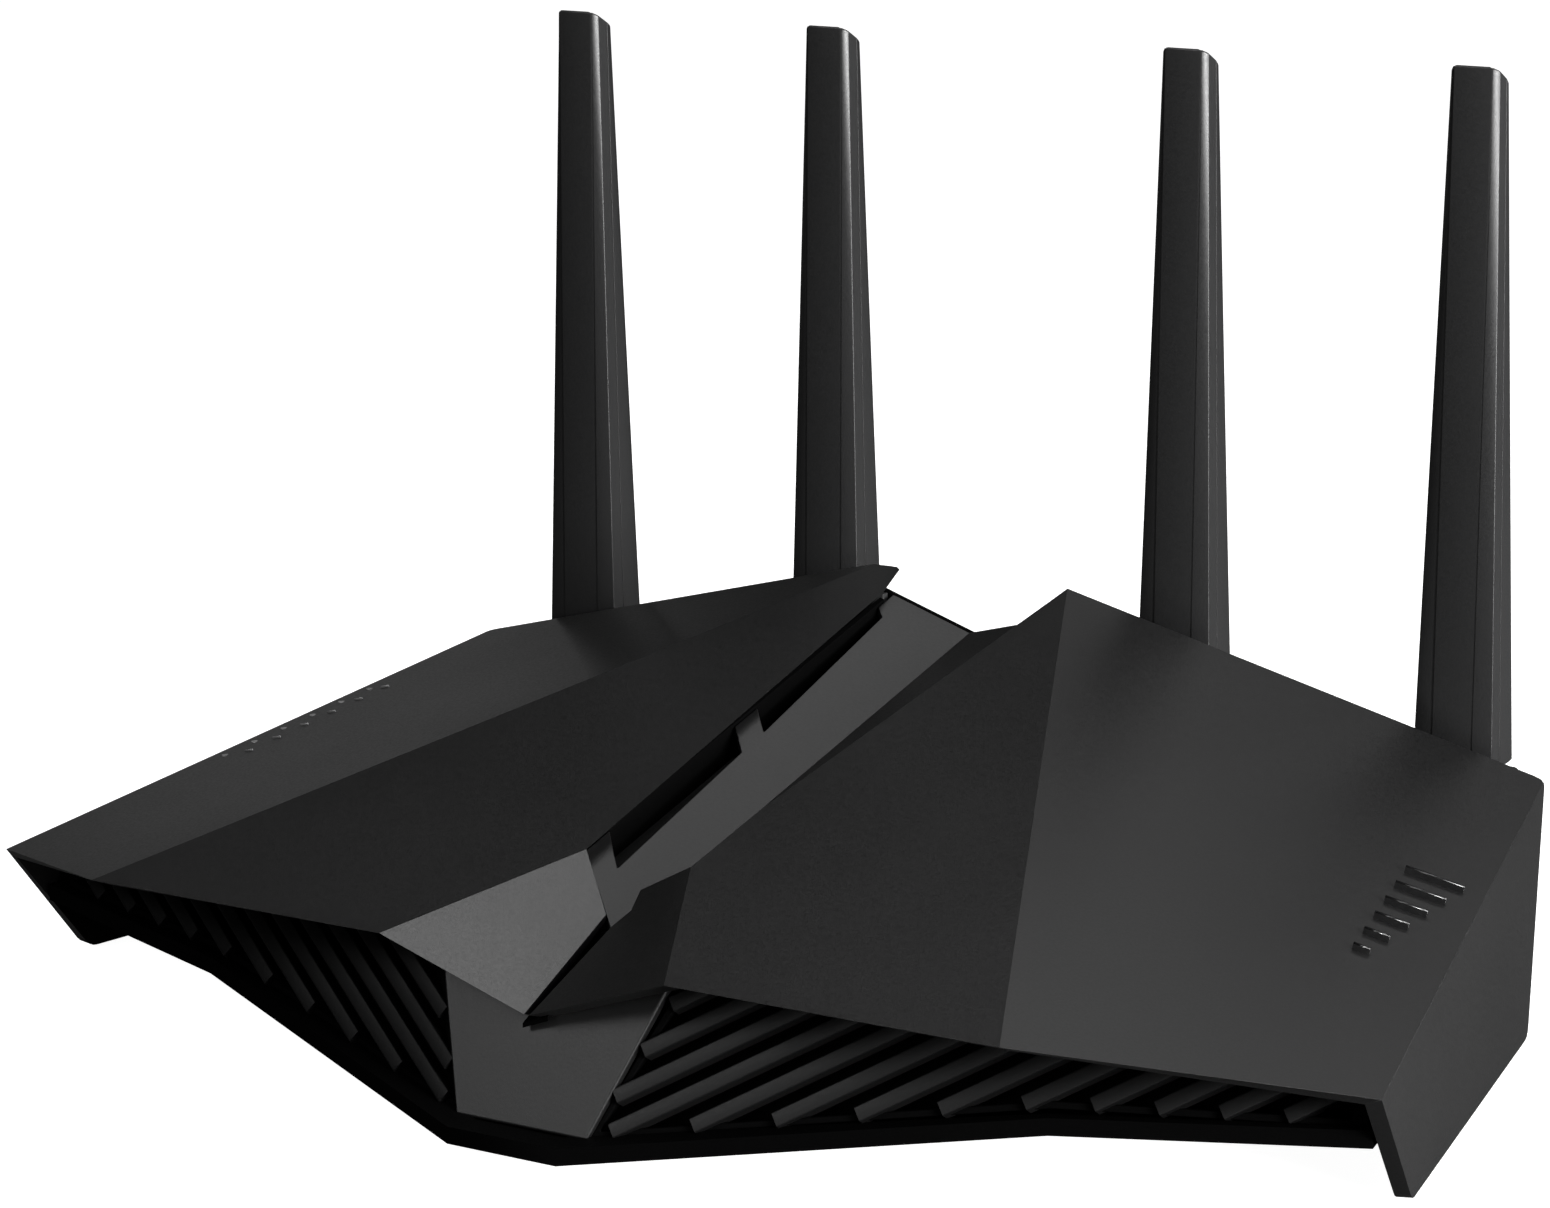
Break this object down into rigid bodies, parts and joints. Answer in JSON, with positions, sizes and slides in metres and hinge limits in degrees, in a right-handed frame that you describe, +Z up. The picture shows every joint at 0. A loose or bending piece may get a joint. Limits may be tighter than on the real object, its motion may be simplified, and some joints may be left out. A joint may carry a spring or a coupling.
{
  "type": "wireless router",
  "caption": "Faceted black wireless router: two folded covers and end plates, louvred front, sunken light channel, blade antennas that swivel and fold behind, network sockets at the rear.",
  "frame": {"origin": "middle of the footprint's bounding box, on the table", "axes": "+X along the width to the router's right as seen from the front, +Y to the back with the sockets and antennas, +Z up"},
  "size_m": [0.2754, 0.1848, 0.1685],
  "materials": {
    "cover_plastic": "fine-grained, semi-gloss",
    "trim_plastic": "satin, slightly metallic dark grey",
    "louvre_plastic": "fine-grained, matt",
    "base_plastic": "fine-grained, matt",
    "antenna_plastic": "satin",
    "light_diffuser": "smoked, unlit",
    "lens_plastic": "clear white, unlit",
    "circuit_board": "solder mask",
    "heat_sink_metal": "extruded",
    "tinned_steel": "tinned",
    "socket_metal": "plated",
    "screw_steel": "zinc plated",
    "socket_plastic": "matt",
    "button_plastic": "satin",
    "reset_plastic": "satin",
    "pad_rubber": "soft pad",
    "foot_rubber": "matt",
    "lead_jacket": "smooth jacket",
    "plug_brass": "gold plated"
  },
  "bodies": {
    "housing": {"base_tray": "base_plastic", "rear_panel": "base_plastic", "left_cover": "cover_plastic", "right_cover": "cover_plastic", "centre_spine": "trim_plastic", "light_bar": "light_diffuser", "light_board": "circuit_board", "nose_panel": "trim_plastic", "left_louvre": "louvre_plastic", "right_louvre": "louvre_plastic", "main_board": "circuit_board", "heat_sink": "heat_sink_metal", "thermal_pad": "pad_rubber", "shield_cans": "tinned_steel", "lan_sockets": "socket_metal", "wan_socket": "socket_metal", "usb_socket": "socket_metal", "power_inlet": "socket_plastic", "power_switch": "socket_plastic", "tact_switches": "socket_plastic", "status_lenses": "lens_plastic", "rubber_feet": "foot_rubber", "cover_screws": "screw_steel", "board_screws": "screw_steel", "swivel_sockets": "base_plastic", "antenna_leads": "lead_jacket", "lead_plugs": "plug_brass"},
    "power_key": {"power_button": "button_plastic"},
    "pair_key": {"pair_button": "button_plastic"},
    "reset_key": {"reset_button": "reset_plastic"},
    "antenna_1_swivel": {"antenna_1_knuckle": "antenna_plastic", "antenna_1_clip": "screw_steel", "antenna_1_pin": "screw_steel"},
    "antenna_1_blade": {"antenna_1_front": "antenna_plastic", "antenna_1_back": "antenna_plastic", "antenna_1_board": "circuit_board"},
    "antenna_2_swivel": {"antenna_2_knuckle": "antenna_plastic", "antenna_2_clip": "screw_steel", "antenna_2_pin": "screw_steel"},
    "antenna_2_blade": {"antenna_2_front": "antenna_plastic", "antenna_2_back": "antenna_plastic", "antenna_2_board": "circuit_board"},
    "antenna_3_swivel": {"antenna_3_knuckle": "antenna_plastic", "antenna_3_clip": "screw_steel", "antenna_3_pin": "screw_steel"},
    "antenna_3_blade": {"antenna_3_front": "antenna_plastic", "antenna_3_back": "antenna_plastic", "antenna_3_board": "circuit_board"},
    "antenna_4_swivel": {"antenna_4_knuckle": "antenna_plastic", "antenna_4_clip": "screw_steel", "antenna_4_pin": "screw_steel"},
    "antenna_4_blade": {"antenna_4_front": "antenna_plastic", "antenna_4_back": "antenna_plastic", "antenna_4_board": "circuit_board"}
  },
  "joints": [
    {"name": "power_button_press", "type": "slide", "parent": "housing", "child": "power_key", "axis": [0, -1, 0], "range_m": [0, 0.002], "stiffness_N_per_m": 400, "springref_m": -0.0008},
    {"name": "pair_button_press", "type": "slide", "parent": "housing", "child": "pair_key", "axis": [0, -1, 0], "range_m": [0, 0.0012], "stiffness_N_per_m": 400, "springref_m": -0.0008},
    {"name": "reset_button_press", "type": "slide", "parent": "housing", "child": "reset_key", "axis": [0, -1, 0], "range_m": [0, 0.0008], "stiffness_N_per_m": 400, "springref_m": -0.0008},
    {"name": "antenna_1_turn", "type": "hinge", "parent": "housing", "child": "antenna_1_swivel", "pos_m": [-0.09425, 0.0634, 0.032], "axis": [0, 1, 0], "range_deg": [-90, 15]},
    {"name": "antenna_1_fold", "type": "hinge", "parent": "antenna_1_swivel", "child": "antenna_1_blade", "pos_m": [-0.09425, 0.0842, 0.032], "axis": [-1, 0, 0], "range_deg": [0, 90]},
    {"name": "antenna_2_turn", "type": "hinge", "parent": "housing", "child": "antenna_2_swivel", "pos_m": [-0.03775, 0.0634, 0.032], "axis": [0, 1, 0], "range_deg": [-15, 15]},
    {"name": "antenna_2_fold", "type": "hinge", "parent": "antenna_2_swivel", "child": "antenna_2_blade", "pos_m": [-0.03775, 0.0842, 0.032], "axis": [-1, 0, 0], "range_deg": [0, 90]},
    {"name": "antenna_3_turn", "type": "hinge", "parent": "housing", "child": "antenna_3_swivel", "pos_m": [0.03775, 0.0634, 0.032], "axis": [0, 1, 0], "range_deg": [-15, 15]},
    {"name": "antenna_3_fold", "type": "hinge", "parent": "antenna_3_swivel", "child": "antenna_3_blade", "pos_m": [0.03775, 0.0842, 0.032], "axis": [-1, 0, 0], "range_deg": [0, 90]},
    {"name": "antenna_4_turn", "type": "hinge", "parent": "housing", "child": "antenna_4_swivel", "pos_m": [0.09425, 0.0634, 0.032], "axis": [0, 1, 0], "range_deg": [-15, 90]},
    {"name": "antenna_4_fold", "type": "hinge", "parent": "antenna_4_swivel", "child": "antenna_4_blade", "pos_m": [0.09425, 0.0842, 0.032], "axis": [-1, 0, 0], "range_deg": [0, 90]}
  ]
}
